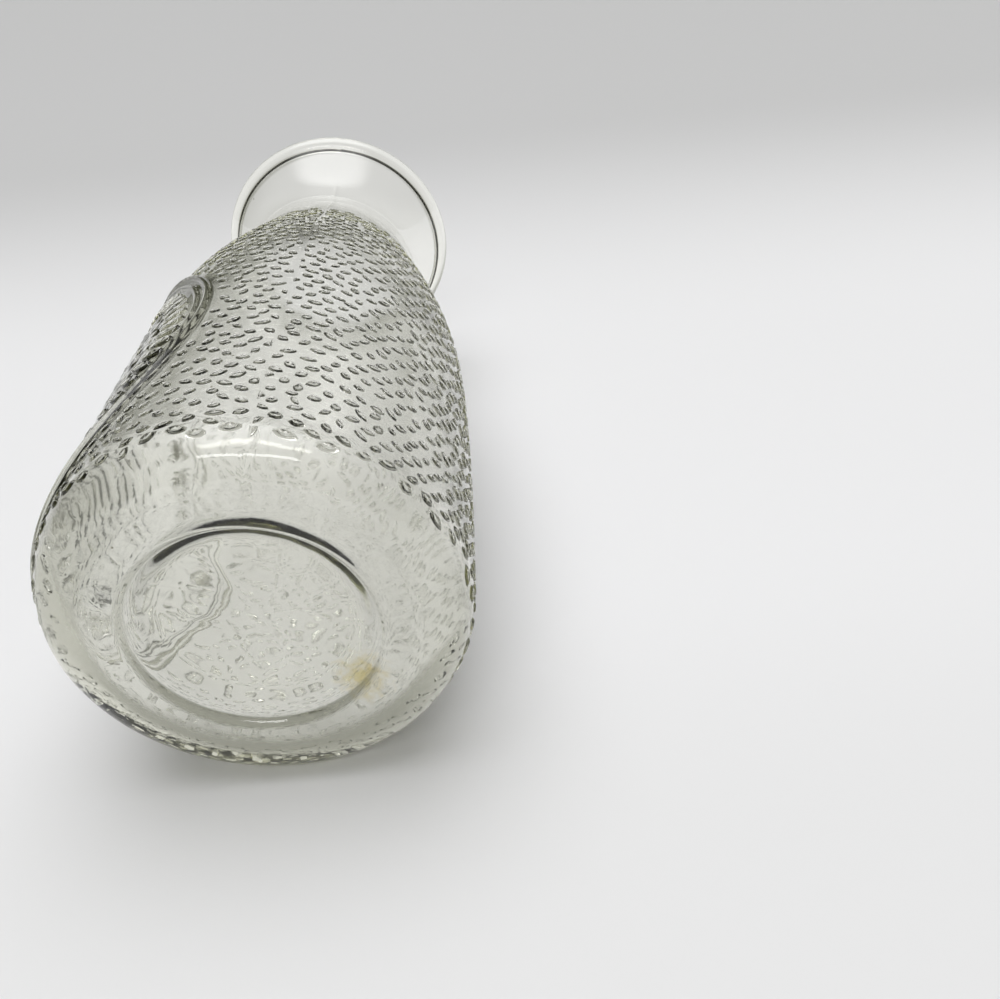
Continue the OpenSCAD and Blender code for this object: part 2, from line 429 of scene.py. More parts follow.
pebble = {
    "area": 17.4,  # glass for each pebble, square millimetres
    "halfLength": (1.35, 2.05),
    "halfWidth": (0.72, 1.1),
    "tips": (0.45, 0.95),  # how sharp its tips are
    "tilt": 25.0,  # spread of its turn, degrees
    "roundShare": 0.14,  # share of rounder ones, with
    "roundSize": (0.8, 1.2),  # their length and width over the others',
    "roundTips": 0.15,
    "roundTurn": 0.6,  # and the further spread of turn, radians
    "lowest": 1.5,  # how much larger the lowest ones are,
    "lowestTo": (8.0, 15.0),  # and the heights where that runs out
    "height": 0.5,
    "heights": (0.82, 1.0),  # spread of the height,
    "leastHeight": 0.8,  # its least share on a shrunk pebble,
    "fade": (0.75, 2.0, 3.0),  # loss near the top, from so far below fadeFrom to so far below top
    "points": 12,  # points round an outline
    "shift": (0.9, 0.8),  # random shift, across and up
    "ends": (1.3, 3.0),  # first and last middles from the field's ends,
    "pushedEnds": (1.2, 3.0),  # after they are pushed apart,
    "outlineEnds": (0.15, 2.7),  # and of their outlines
    "reach": 4.75,  # neighbours closer than this push each other away,
    "push": 0.42,  # by this share,
    "pushes": 7,  # this often,
    "oval": 1.28,  # while across counts less and up more by this factor
    "rim": (0.4, 0.3, 0.4),  # clear of the medallion: at first, after the pushes, and of outlines
    "gap": 0.22,  # least gap between two outlines, found
    "neighbours": 7,  # among so many neighbours,
    "wedges": 48,  # in so many directions,
    "shrinks": 9,  # by making a pebble smaller so often
    "shrink": 0.94,  # by this factor
    "smallest": 0.62,  # a smaller one is left out
    "squeeze": 0.02,  # an outline cut at a seam keeps this share of its shape
    "seed": 41,
}


def scatterPebbles(rng):
    # sunflower rule: point k lies where the glass below it is k times one pebble's share,
    # each a golden angle on from the last; then they are shifted and pushed apart
    f, p = field, pebble
    glassBelow = np.cumsum(np.gradient(outerLength) * fullTurn * outerLine[:, 0])
    ends = [f["groundFrom"] + p["ends"][0], f["top"] - p["ends"][1]]
    low, high = np.interp(ends, outerLine[:, 1], glassBelow)
    share = low + p["area"] * (np.arange(int((high - low) / p["area"])) + 0.5)
    up = np.interp(share, glassBelow, mapUp)
    golden = math.pi * (3 - math.sqrt(5))
    x = np.mod(np.arange(len(up)) * golden, fullTurn) * bottle["bodyRadius"]
    scale = mapScale(up)
    x = np.mod(x + rng.normal(0, p["shift"][0], len(x)) * scale, girth)
    up = up + rng.normal(0, p["shift"][1], len(up)) * scale
    keep = ~insideMedallion(x, up, p["halfWidth"][1] + p["rim"][0])
    x, up = x[keep], up[keep]
    lowest = upOfHeight(f["groundFrom"] + p["pushedEnds"][0])
    highest = upOfHeight(f["top"] - p["pushedEnds"][1])
    for _ in range(p["pushes"]):
        x, up = pushApart(x, up)
        up = np.clip(up, lowest, highest)
    keep = ~insideMedallion(x, up, p["halfWidth"][1] + p["rim"][1])
    return x[keep], up[keep]


def pushApart(x, up):
    # each point moves away from neighbours nearer than the reach; pebbles are long, so across counts less
    p = pebble
    scale = mapScale(up)
    dx = x[:, None] - x[None, :]
    dx -= girth * np.round(dx / girth)
    both = (scale[:, None] + scale[None, :]) / 2
    wide = dx / both / p["oval"]
    tall = (up[:, None] - up[None, :]) / both * p["oval"]
    far = np.hypot(wide, tall) + 1e-6
    np.fill_diagonal(far, 99)
    push = np.clip(1 - far / p["reach"], 0, None) * p["push"] / far
    x = np.mod(x + (push * wide).sum(1) * scale * p["oval"], girth)
    return x, up + (push * tall).sum(1) * scale / p["oval"]


def pebbleOutlines(rng, up):
    # lens outlines of random size and turn, a few of them rounder, larger near the heel
    p = pebble
    n = len(up)
    rounder = rng.random(n) < p["roundShare"]
    low = 1 + (p["lowest"] - 1) * (1 - smoothStep(heightOfUp(up), *p["lowestTo"]))
    halfLength = rng.uniform(*p["halfLength"], n) * np.where(rounder, p["roundSize"][0], 1) * low
    halfWidth = rng.uniform(*p["halfWidth"], n) * np.where(rounder, p["roundSize"][1], 1) * low
    turn = np.radians(rng.normal(0, p["tilt"], n)) + np.where(rounder, rng.normal(0, p["roundTurn"], n), 0)
    tips = np.where(rounder, p["roundTips"], rng.uniform(*p["tips"], n))
    return lensOutline(halfLength, halfWidth, turn, tips, p["points"])


def shrinkTouching(x, up, px, py):
    # a pebble whose outline reaches into a neighbour's, by their radii in that direction, is made smaller
    p = pebble
    scale = mapScale(up)
    size = np.ones(len(x))
    dx = x[None, :] - x[:, None]
    dx -= girth * np.round(dx / girth)
    far = np.hypot(dx, up[None, :] - up[:, None]) / scale[:, None]
    np.fill_diagonal(far, 99)
    near = np.argsort(far, axis=1)[:, :p["neighbours"]]
    row = np.arange(len(x))[:, None]
    offX = (dx[row, near] / scale[:, None])[:, :, None]
    offUp = ((up[near] - up[:, None]) / scale[:, None])[:, :, None]
    radius, angle = np.hypot(px, py), np.mod(np.arctan2(py, px), fullTurn)
    order = np.argsort(angle, axis=1)
    angle, radius = np.take_along_axis(angle, order, 1), np.take_along_axis(radius, order, 1)
    step = np.linspace(0, fullTurn, p["wedges"], endpoint=False)
    reach = np.stack([np.interp(step, a, r, period=fullTurn) for a, r in zip(angle, radius)])
    for _ in range(p["shrinks"]):
        qx = px[:, None, :] * size[:, None, None] - offX
        qy = py[:, None, :] * size[:, None, None] - offUp
        away = np.mod(np.arctan2(qy, qx), fullTurn)
        wedge = np.minimum((away / fullTurn * p["wedges"]).astype(int), p["wedges"] - 1)
        edge = reach[near[:, :, None], wedge] * size[near][:, :, None] + p["gap"]
        touching = (np.hypot(qx, qy) < edge).any(axis=(1, 2))
        size = np.where(touching, size * p["shrink"], size)
    return size


def keepOffSeams(x, px, scale):
    # an outline that reaches a seam is cut off just beside it
    clear = field["seamHalf"] + field["seamClear"]
    left = np.floor(x / (girth / 2)) * girth / 2
    squeezed = np.clip(px * scale, (left - x)[:, None] + clear, (left + girth / 2 - x)[:, None] - clear)
    return squeezed / scale + pebble["squeeze"] * px / scale * (squeezed != px * scale)


def keepInField(up, py, scale):
    # an outline that reaches an end of the field is cut off there
    below, above = pebble["outlineEnds"]
    low, high = upOfHeight(field["groundFrom"] + below), upOfHeight(field["top"] - above)
    return np.clip(py * scale, (low - up)[:, None], (high - up)[:, None]) / scale


def addPebbles(sheet, rng):
    # all pebbles that find room, each with its outline and height
    f, p = field, pebble
    x, up = scatterPebbles(rng)
    px, py = pebbleOutlines(rng, up)
    size = shrinkTouching(x, up, px, py)
    px, py = px * size[:, None], py * size[:, None]
    keep = (size > p["smallest"]) & ~insideMedallion(x, up, p["rim"][2] + np.abs(py).max(1))
    x, up, px, py, size = (a[keep] for a in (x, up, px, py, size))
    rise = p["height"] * rng.uniform(*p["heights"], len(x)) * np.clip(size, p["leastHeight"], 1)
    loss, before, after = p["fade"]
    rise *= 1 - loss * smoothStep(heightOfUp(up), f["fadeFrom"] - before, f["top"] - after)
    scale = mapScale(up)[:, None]
    px, py = keepOffSeams(x, px, scale), keepInField(up, py, scale)
    inside = insideMedallion(x[:, None] + px * scale, up[:, None] + py * scale, medallion["margin"])
    x, up, px, py, rise = (a[~inside.any(1)] for a in (x, up, px, py, rise))
    low = 1 - smoothStep(heightOfUp(up), *bump["lowHeights"])
    addBumps(sheet, rng, x, up, px, py, rise, low)
    print("pebbles:", len(x))


def netOfSheet(sheet):
    # Delaunay triangles of the flat map that keep the fixed edges
    points, edges = np.concatenate(sheet.parts), np.concatenate(sheet.edges)
    flat = [Vector(p) for p in points[:, :2].tolist()]
    found = delaunay_2d_cdt(flat, edges.tolist(), [], 0, 1e-6, True)
    place, faces = np.array(found[0]), np.array(found[2])
    source = np.array([s[0] if s else -1 for s in found[3]])
    return place, points[np.maximum(source, 0), 2:], faces, source


def sideSurface(sheet):
    # points and triangles of the pebbled side, and each point's number in the sheet; a corner's normal is
    # out + around times slope + up times slope, with the slope of its face's kind: ground, flank or top
    place, values, faces, source = netOfSheet(sheet)
    r, z, nr, nz = onSide(lengthOfUp(place[:, 1]))
    turn = place[:, 0] / bottle["bodyRadius"]
    off = np.where(source < 0, groundLevel(place[:, 0], place[:, 1]), values[:, 0])
    radius = r + off * nr
    points = np.stack([radius * np.cos(turn), radius * np.sin(turn), z + off * nz], 1)
    around = np.stack([-np.sin(turn), np.cos(turn), 0 * turn], 1)
    out = np.stack([nr * np.cos(turn), nr * np.sin(turn), nz], 1)
    upwards = np.cross(out, around)
    values[source < 0] = 0
    level = values[faces, 7]
    kind = np.where(level.min(1) > 0, 2, np.where(level.max(1) > 0, 1, 0))
    slope = values[:, 1:7].reshape(-1, 3, 2)[faces, kind[:, None]]
    normals = out[faces] + around[faces] * slope[:, :, :1] + upwards[faces] * slope[:, :, 1:]
    normals /= np.linalg.norm(normals, axis=2)[:, :, None]
    return points, faces, normals, source


ripples = {
    "seed": 7,
    "inner": 0.16,  # height of the waves on the inner wall,
    "floor": 0.22,  # and on the floor inside
    "slow": (16, (1, 6), (0.02, 0.16)),  # waves in the sum, how many go round, radians in a millimetre
    "quick": (22, (5, 22), (0.1, 0.75)),
    "shares": (0.75, 0.2),  # of the slow and the quick ones
    "panel": 0.05,  # height of the swirls on the panel
    "swirl": (14, (1, 7), (0.15, 0.9)),
    "ring": 0.022,  # height of the rings near its edge
    "ringPitch": 4.1,  # radians in a millimetre
    "ringBend": 0.6,
    "heel": 0.035,  # height of the waves on the heel,
    "heelSunk": 0.06,  # which lie this deep
    "heelWaves": (18, (3, 18), (0.05, 0.4)),
    "fall": 0.12,  # how fast a wave's height falls with its number
    "panelFrom": (2, 12),  # distances from the axis between which the swirls grow,
    "panelTo": (25.2, 26.6),  # and end,
    "ringFrom": (17, 23),  # and between which the rings grow,
    "heelFrom": (36, 40),  # the heel's waves,
    "floorFrom": (2, 15),  # and the floor's
    "wallFrom": (8, 16),  # heights between which these pass into the wall's,
    "wallTo": (196, 212),  # which end here
}


def waves(rng, turn, along, count, across, up):
    # sum of sines with whole numbers of waves round the bottle, random phase and falling heights
    total = 0
    weight = 0
    for _ in range(count):
        n = rng.integers(across[0], across[1] + 1)
        k = rng.uniform(*up) * rng.choice([-1, 1])
        phase = rng.uniform(0, fullTurn)
        size = 1 / (1 + ripples["fall"] * n)
        total = total + size * np.sin(n * turn + k * along + phase)
        weight += size**2
    return total / math.sqrt(weight)


def undersideRows():
    # panel, step, ring and the lower heel, as rows of (radius, height)
    b, counts = bottle, rowCounts
    share = np.linspace(0, 1, counts["panel"])[1:]
    panel = np.stack([b["panelRadius"] * share, b["panelHeight"] + b["panelDome"] * (1 - share**2)], 1)
    first, second, last = b["stepCurve"]
    edge = (b["panelRadius"], 0.0)
    step = bezier([panel[-1], panel[-1] + first, np.add(edge, second), np.add(edge, last)], counts["step"])
    first, before, after = b["ringCurve"]
    ends = [(b["standRadius"] + before, 0.0), (b["standRadius"] + after, 0.0)]
    ring = bezier([step[-1], step[-1] + first, *ends], counts["ring"])
    flat = np.array([(b["standMiddle"], 0.0)])
    heelEnd = np.interp(field["bottom"], outerLine[:heelPoints, 1], outerLength[:heelPoints])
    heel = np.stack(onSide(np.linspace(0, heelEnd, counts["heel"]))[:2], 1)
    return np.concatenate([panel, step[1:], ring[1:], flat, heel])


def neckRows():
    # the smooth neck and flare above the pebbles, evenly along the outer side
    start = np.interp(field["top"], outerLine[:, 1], outerLength)
    return np.stack(onSide(np.linspace(start, outerLength[-1], rowCounts["neck"]))[:2], 1)


def innerRows():
    # the outer side moved in by the wall, from the lip down, then the inner heel and the domed floor
    b, counts = bottle, rowCounts
    start = np.interp(b["heelRadius"], outerLine[:, 1], outerLength)
    r, z, nr, nz = onSide(np.linspace(start, outerLength[-1], counts["inner"]))
    side = np.stack([r - b["wall"] * nr, z - b["wall"] * nz], 1)
    centre = (side[0, 0] - b["innerHeelRadius"], b["baseThickness"] + b["innerHeelRadius"])
    heel = arc(centre, b["innerHeelRadius"], 0, -90, counts["innerHeel"])
    aboveHeel, clearOfBead = 2, 0.35
    high = side[side[:, 1] > centre[1] + aboveHeel]
    fromBead = np.linalg.norm(high - np.array(b["beadCentre"]), axis=1)
    high = high[fromBead > b["beadRadius"] + clearOfBead][::-1]
    change = 19.5  # where the floor's rows become wider apart
    flank = np.linspace(centre[0], change, counts["floorSide"])[1:]
    r = np.concatenate([flank, np.linspace(change, 0, counts["floorMiddle"])[1:-1]])
    rise = b["floorRise"] * (1 - smoothStep(r, *b["floorFlank"]))
    rise = rise + b["floorDome"] * (1 - (r / centre[0]) ** 2)
    floor = np.stack([r, b["baseThickness"] + rise], 1)
    return high, np.concatenate([heel, floor]), b["baseThickness"] + b["floorRise"] + b["floorDome"]


def beadRows(first):
    # round the rolled lip to where the inner side leaves it
    b = bottle
    away = first - np.array(b["beadCentre"])
    end = math.degrees(math.atan2(away[1], away[0])) % 360
    return arc(b["beadCentre"], b["beadRadius"], b["beadFrom"], end - b["beadEnd"], rowCounts["bead"])[1:]


def underMove(turn, rows):
    # rings near the panel's edge, swirls over the panel, and waves and seams on the heel
    rng = np.random.default_rng(ripples["seed"])
    r, z = rows[:, :1], rows[:, 1:]
    inPanel = smoothStep(r, *ripples["panelFrom"]) * (1 - smoothStep(r, *ripples["panelTo"]))
    swirl = waves(rng, turn, r, *ripples["swirl"]) * ripples["panel"] * inPanel
    rings = np.sin(r * ripples["ringPitch"] + ripples["ringBend"] * np.sin(2 * turn)) * ripples["ring"]
    rings = rings * smoothStep(r, *ripples["ringFrom"]) * inPanel
    onHeel = smoothStep(r, *ripples["heelFrom"])
    heel = waves(rng, turn, z * 2, *ripples["heelWaves"]) * ripples["heel"] * onHeel
    heel = np.minimum(heel - ripples["heelSunk"] * onHeel, 0)
    return -np.abs(swirl + rings) + heel + seamRise(turn, z) * onHeel


def innerMove(turn, rows):
    # waves left by blowing, none at the lip and at the middle of the floor
    rng = np.random.default_rng(ripples["seed"] + 1)
    r, z = rows[:, :1], rows[:, 1:]
    fade = (1 - smoothStep(z, *ripples["wallTo"])) * smoothStep(r, *ripples["floorFrom"])
    onFloor = 1 - smoothStep(z, *ripples["wallFrom"])
    slow = waves(rng, turn, z, *ripples["slow"])
    quick = waves(rng, turn, z + r, *ripples["quick"])
    size = ripples["inner"] * (1 - onFloor) + ripples["floor"] * onFloor
    return (slow * ripples["shares"][0] + quick * ripples["shares"][1]) * size * fade


def turned(rows, move):
    # rows of (radius, height) at every angle; move shifts each point along the row line's normal
    normals = sideNormals(rows)
    turn = angles[None, :]
    off = move(turn, rows)
    r = rows[:, :1] + normals[:, :1] * off
    z = rows[:, 1:] + normals[:, 1:] * off
    return np.stack([r * np.cos(turn), r * np.sin(turn), z], 2)


def gridFaces(first, rowCount):
    # quads between neighbouring rows of one block, closed round the bottle
    n = len(angles)
    low = first + np.arange(rowCount - 1)[:, None] * n + np.arange(n)[None, :]
    right = first + np.arange(rowCount - 1)[:, None] * n + (np.arange(n)[None, :] + 1) % n
    return np.stack([low, right, right + n, low + n], -1).reshape(-1, 4)


def pointNormals(points, quads, triangles):
    # every point gets the sum of the area-weighted normals of its faces, made one long
    corners = np.concatenate([triangles, quads[:, :3], quads[:, [0, 2, 3]]])
    a, b, c = (points[corners[:, i]] for i in range(3))
    area = np.cross(b - a, c - a)
    normals = np.zeros(points.shape)
    for i in range(3):
        np.add.at(normals, corners[:, i], area)
    return normals / np.linalg.norm(normals, axis=1)[:, None]


def outerNormalsAt(points):
    # the outer side's own normals at points that lie on it
    nr, nz = onSide(np.interp(points[:, 2], outerLine[:, 1], outerLength))[2:]
    across = points[:, :2] / np.linalg.norm(points[:, :2], axis=1)[:, None]
    return np.stack([across[:, 0] * nr, across[:, 1] * nr, nz], 1)


def buildGlass():
    # one closed skin: underside, heel, pebbled side, neck, lip, inner wall and floor, from pole to pole
    n = len(angles)
    under, neck = undersideRows(), neckRows()
    high, low, floorTop = innerRows()
    bead = beadRows(high[0])
    upper = np.concatenate([neck, bead, high, low])
    beadEnd = len(neck) + len(bead)

    def upperMove(turn, rows):
        index = np.arange(len(rows))[:, None]
        onNeck = seamRise(turn, rows[:, 1:]) * (index < len(neck))
        return onNeck + np.where(index >= beadEnd, innerMove(turn, rows), 0)

    sheet = PointSheet()
    bottomRow, topRow, start, end = addFrame(sheet)
    rng = np.random.default_rng(pebble["seed"])
    addPebbles(sheet, rng)
    for ridge in ("outerRidge", "innerRidge"):
        addRidge(sheet, *medallion[ridge])
    addReeds(sheet, rng)
    addBareMiddle(sheet)
    sidePoints, net, netNormals, source = sideSurface(sheet)

    # the side's edge rows are the grids' own, and its last line of points is its first one
    firstUnder = 1
    firstUpper = firstUnder + len(under) * n
    firstSide = firstUpper + len(upper) * n
    ring = np.arange(n)
    lastUnder = firstUpper - n + ring
    bySource = np.full(sheet.count, -1)
    bySource[source[source >= 0]] = np.flatnonzero(source >= 0)
    target = np.full(len(sidePoints), -1)
    target[bySource[bottomRow]] = np.append(lastUnder, lastUnder[0])
    target[bySource[topRow]] = firstUpper + np.append(ring, 0)
    own = target < 0
    own[bySource[end]] = False
    target[own] = firstSide + np.arange(own.sum())
    target[bySource[end]] = target[bySource[start]]
    net = target[net]
    whole = (net[:, 0] != net[:, 1]) & (net[:, 1] != net[:, 2]) & (net[:, 0] != net[:, 2])
    net, netNormals = net[whole], netNormals[whole]

    poles = np.array([(0, 0, bottle["panelHeight"] + bottle["panelDome"]), (0, 0, floorTop)])
    grids = [turned(under, underMove).reshape(-1, 3), turned(upper, upperMove).reshape(-1, 3)]
    points = np.concatenate([poles[:1], *grids, sidePoints[own], poles[1:]])
    following = (ring + 1) % n
    lowFan = np.stack([0 * ring, firstUnder + following, firstUnder + ring], 1)
    highFan = np.stack([0 * ring + len(points) - 1, firstSide - n + ring, firstSide - n + following], 1)
    fans = np.concatenate([lowFan, highFan])
    quads = np.concatenate([gridFaces(firstUnder, len(under)), gridFaces(firstUpper, len(upper))])
    normals = pointNormals(points, quads, np.concatenate([net, fans]))
    for row in (lastUnder, firstUpper + ring):
        normals[row] = outerNormalsAt(points[row])
    cornerNormals = np.concatenate([netNormals.reshape(-1, 3), normals[fans].reshape(-1, 3),
                                    normals[quads].reshape(-1, 3)])

    # how far the inner side's finish counts: a share on the floor, all on the wall
    inside = np.zeros(len(points))
    height = np.repeat(upper[beadEnd:, 1], n)
    onFloor, *wallHeights = finish["innerShare"]
    inside[firstUpper + beadEnd * n:firstSide] = onFloor + (1 - onFloor) * smoothStep(height, *wallHeights)
    inside[-1] = onFloor
    return points * mm, quads, np.concatenate([net, fans]), cornerNormals, inside


def addObject(name, data):
    # a new object in the scene
    item = bpy.data.objects.new(name, data)
    bpy.context.scene.collection.objects.link(item)
    return item


def meshFrom(name, points, quads, triangles, cornerNormals):
    # whole arrays go into the mesh: points, then the corner lists of triangles and quads
    mesh = bpy.data.meshes.new(name)
    corners = np.concatenate([triangles.reshape(-1), quads.reshape(-1)]).astype(np.int32)
    sizes = np.concatenate([np.full(len(triangles), 3), np.full(len(quads), 4)])
    starts = np.concatenate([[0], np.cumsum(sizes)[:-1]]).astype(np.int32)
    mesh.vertices.add(len(points))
    mesh.vertices.foreach_set("co", points.astype(np.float32).reshape(-1))
    mesh.loops.add(len(corners))
    mesh.loops.foreach_set("vertex_index", corners)
    mesh.polygons.add(len(sizes))
    mesh.polygons.foreach_set("loop_start", starts)
    mesh.update(calc_edges=True)
    mesh.validate()
    mesh.polygons.foreach_set("use_smooth", np.ones(len(mesh.polygons), bool))
    mesh.normals_split_custom_set(cornerNormals.tolist())
    return addObject(name, mesh)


def fill(node, values):
    # inputs by name or number: the output of another node is linked in, and anything else is set
    for name, value in dict(values).items():
        if isinstance(value, bpy.types.NodeSocket):
            node.id_data.links.new(value, node.inputs[name])
        else:
            node.inputs[name].default_value = value
    return node


def newNode(tree, kind, values=()):
    return fill(tree.nodes.new("ShaderNode" + kind), values)


def mathNode(tree, operation, *values):
    node = newNode(tree, "Math")
    node.operation = operation
    return fill(node, enumerate(values)).outputs[0]


def vectorNode(tree, operation, vector, value):
    # scales a vector, or takes its dot product or distance with a fixed one
    node = newNode(tree, "VectorMath")
    node.operation = operation
    scales = operation == "SCALE"
    return fill(node, {0: vector, "Scale" if scales else 1: value}).outputs["Vector" if scales else "Value"]


def stepNode(tree, value, low, high):
    # 0 to 1, smoothly, as the value goes from low to high
    ramp = newNode(tree, "MapRange", {0: value, "From Min": low, "From Max": high})
    ramp.interpolation_type = "SMOOTHSTEP"
    return ramp.outputs[0]


def fallNode(tree, value, low, high):
    # 1 to 0, smoothly, as the value goes from low to high
    return mathNode(tree, "SUBTRACT", 1.0, stepNode(tree, value, low, high))


def along(tree, vector, direction, low, high):
    # 0 to 1 as the vector's part along the direction goes from low to high
    return stepNode(tree, vectorNode(tree, "DOT_PRODUCT", vector, tuple(direction)), low, high)


def noiseNode(tree, vector, scale, detail, distortion):
    values = {"Vector": vector, "Scale": scale, "Detail": detail, "Distortion": distortion}
    return newNode(tree, "TexNoise", values).outputs[0]


def mixed(tree, factor, low, high):
    # colour low where the factor is 0 and high where it is 1
    mix = newNode(tree, "Mix")
    mix.data_type = "RGBA"
    return fill(mix, {0: factor, 6: low, 7: high}).outputs[2]


def mixedShader(tree, *values):
    # values are a factor and the shaders at 0 and at 1
    return newNode(tree, "MixShader", enumerate(values)).outputs[0]


def newMaterial(name):
    # a material with its nodes, its shader and its output
    material = bpy.data.materials.new(name)
    material.use_nodes = True
    tree = material.node_tree
    return material, tree, tree.nodes["Principled BSDF"], tree.nodes["Material Output"]


finish = {
    "absorb": (0.87, 0.875, 0.36, 1.0),  # tint of the glass,
    "density": 15.0,  # and how fast it deepens with thickness
    "ior": 1.5,
    "innerRoughness": 0.13,  # the inner side is a little uneven
    "innerShare": (0.5, 12, 24),  # share of that on the floor, and heights where it grows to the whole
    "creases": 0.018,  # height of the creases, in millimetres
    "creaseNoise": (0.16, 0.0, 1.6),  # their scale in a millimetre, detail and distortion
    "creaseWidth": 0.1,
    "creaseHeights": (4.0, 14.0),  # they run out between these heights,
    "creaseSide": (-0.1768, -0.9841, 0.0),  # and grow towards the side that chilled first,
    "creaseFrom": (20.0, 44.0),  # between these distances from the axis,
    "creaseLeast": 0.12,  # from this share
    "grain": 0.0003,  # height of the fine grain all over
    "grainNoise": (1.1, 0.0, 0.0),
    "wearRoughness": 0.2,  # the standing ring is scuffed
    "wearNoise": (0.9, 5.0, 0.6),
    "wearHeights": (0.05, 0.5),
    "wearShare": (0.42, 0.62),
    "stain": (-0.0122, 0.0233, 0.0025, 0.0074),  # a dried spot on the base: place and size
    "stainNoise": (0.5, 4.0, 0.5),
    "stainEdge": (1.4, 0.7, 1.8),  # how ragged its edge is, its start and end, over its size
    "stainColour": (0.74, 0.60, 0.22, 1.0),
    "speckScale": 0.085,  # specks in a millimetre
    "speckSize": (0.018, 0.035),
    "speckColour": (0.20, 0.18, 0.12, 1.0),
}


def glassMaterial():
    material, tree, shader, output = newMaterial("clearGlass")
    absorb = newNode(tree, "VolumeAbsorption", {"Color": finish["absorb"], "Density": finish["density"]})
    fill(output, {"Volume": absorb.outputs[0]})

    # place in millimetres
    coordinates = newNode(tree, "TexCoord")
    place = vectorNode(tree, "SCALE", coordinates.outputs["Object"], 1 / mm)
    height = newNode(tree, "SeparateXYZ", {0: place}).outputs["Z"]

    # creases: thin ridges where a noise n passes its middle value, 1 - smoothstep(|n - 0.5|, 0, width)
    creased = noiseNode(tree, place, *finish["creaseNoise"])
    middle = mathNode(tree, "ABSOLUTE", mathNode(tree, "SUBTRACT", creased, 0.5))
    fold = fallNode(tree, middle, 0.0, finish["creaseWidth"])
    chilled = along(tree, place, finish["creaseSide"], *finish["creaseFrom"])
    least = finish["creaseLeast"]
    amount = mathNode(tree, "MULTIPLY", fallNode(tree, height, *finish["creaseHeights"]),
                      mathNode(tree, "MULTIPLY_ADD", chilled, 1 - least, least))
    crease = mathNode(tree, "MULTIPLY", mathNode(tree, "MULTIPLY", fold, amount), finish["creases"])
    grain = noiseNode(tree, place, *finish["grainNoise"])
    relief = mathNode(tree, "MULTIPLY_ADD", grain, finish["grain"], crease)
    bumped = newNode(tree, "Bump", {"Strength": 1.0, "Distance": mm, "Height": relief})
    fill(shader, {"Normal": bumped.outputs[0]})

    # roughness: the inner side, and scuffs on the standing ring
    side = newNode(tree, "Attribute")
    side.attribute_name = "inside"
    scuff = stepNode(tree, noiseNode(tree, place, *finish["wearNoise"]), *finish["wearShare"])
    worn = mathNode(tree, "MULTIPLY", fallNode(tree, height, *finish["wearHeights"]), scuff)
    rough = mathNode(tree, "MULTIPLY", side.outputs["Fac"], finish["innerRoughness"])
    rough = mathNode(tree, "MULTIPLY_ADD", worn, finish["wearRoughness"], rough)

    # a dried spot with a ragged edge, and a few dark specks
    x, y, z, size = (v / mm for v in finish["stain"])
    far = vectorNode(tree, "DISTANCE", place, (x, y, z))
    uneven, start, end = (size * share for share in finish["stainEdge"])
    ragged = mathNode(tree, "MULTIPLY_ADD", noiseNode(tree, place, *finish["stainNoise"]), uneven, far)
    spot = fallNode(tree, ragged, start, end)
    colour = mixed(tree, spot, (1, 1, 1, 1), finish["stainColour"])
    cells = newNode(tree, "TexVoronoi", {"Vector": place, "Scale": finish["speckScale"]})
    speck = fallNode(tree, cells.outputs["Distance"], *finish["speckSize"])
    colour = mixed(tree, speck, colour, finish["speckColour"])
    fill(shader, {"Base Color": colour, "Roughness": rough, "IOR": finish["ior"], "Transmission Weight": 1.0})
    return material


points, quads, triangles, cornerNormals, inside = buildGlass()
glass = meshFrom("bottle_glass", points, quads, triangles, cornerNormals)
glass.data.attributes.new("inside", "FLOAT", "POINT").data.foreach_set("value", inside.astype(np.float32))
glass.data.materials.append(glassMaterial())
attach(glass, "root")
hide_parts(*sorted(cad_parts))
print("glass:", len(points), "points,", len(triangles) + 2 * len(quads), "triangles")

# the bottle lies on a table

lay = {
    "right": (0.1768, 0.9841, 0.0194),  # the table's directions in the bottle's frame
    "away": (-0.0159, -0.0168, 0.9997),
    "up": (0.9841, -0.1771, 0.0127),
    "below": 0.04738,  # the table's distance from the middle of the base
}
right, away, tableUp = (Vector(lay[k]).normalized() for k in ("right", "away", "up"))
overhead = (tableUp * 0.99 + away * 0.12).normalized()

stage = {
    "half": 4.0,  # half the table's side
    # the table's colour carries painted light and shade: painted shade, a little darker, in front of the
    # bottle
    "table": (0.77, 0.77, 0.785, 1.0),
    "tablePaintedLight": (0.81, 0.81, 0.83, 1.0),  # painted light: paler under the bottle,
    "tableFarPaintedShade": (0.57, 0.57, 0.58, 1.0),  # and painted shade: darker beyond it
    "tableRough": 0.9,
    "shade": (0.28, 0.282, 0.262, 1.0),  # the table as the glass shows it is a painted glow: a painted contact shadow below the base,
    "near": (0.69, 0.69, 0.685, 1.0),  # painted light under the lower body,
    "far": (0.88, 0.88, 0.875, 1.0),  # brighter painted light under the shoulder,
    "beside": (0.45, 0.451, 0.425, 1.0),  # and a painted shadow on both sides of the bottle
    # share of the painted glow in the table as the glass shows it
    "paintedGlowShare": 0.85,
    "dark": (0.055, 0.058, 0.022, 1.0),  # the room low down
    "ceiling": (0.34, 0.34, 0.32, 1.0),
    "soft": (3.25, 3.25, 3.25, 1.0),  # the wide soft light above
    "background": (0.86, 0.86, 0.86, 1.0),  # what the camera sees behind,
    "roomShare": 0.35,  # and its share in what the glass shows
}

tones = {  # each tone with its direction, and from and to along it
    # painted light and shade along the table
    "table": ((away, -0.03, 0.07, "tablePaintedLight"), (away, 0.22, 0.55, "tableFarPaintedShade")),
    # painted glow and painted shadows in the glass's view of the table
    "through": (
        (away, 0.004, 0.034, "near"), (away, 0.09, 0.17, "far"), (away, 0.30, 0.42, "near"),
        (right, 0.03, 0.08, "beside"), (-right, 0.045, 0.11, "beside"),
    ),
    "room": (
        (tableUp, 0.2, 0.85, "ceiling"), (-tableUp, 0.0, 0.1, "ceiling"), (overhead, 0.8, 0.95, "soft"),
    ),
}


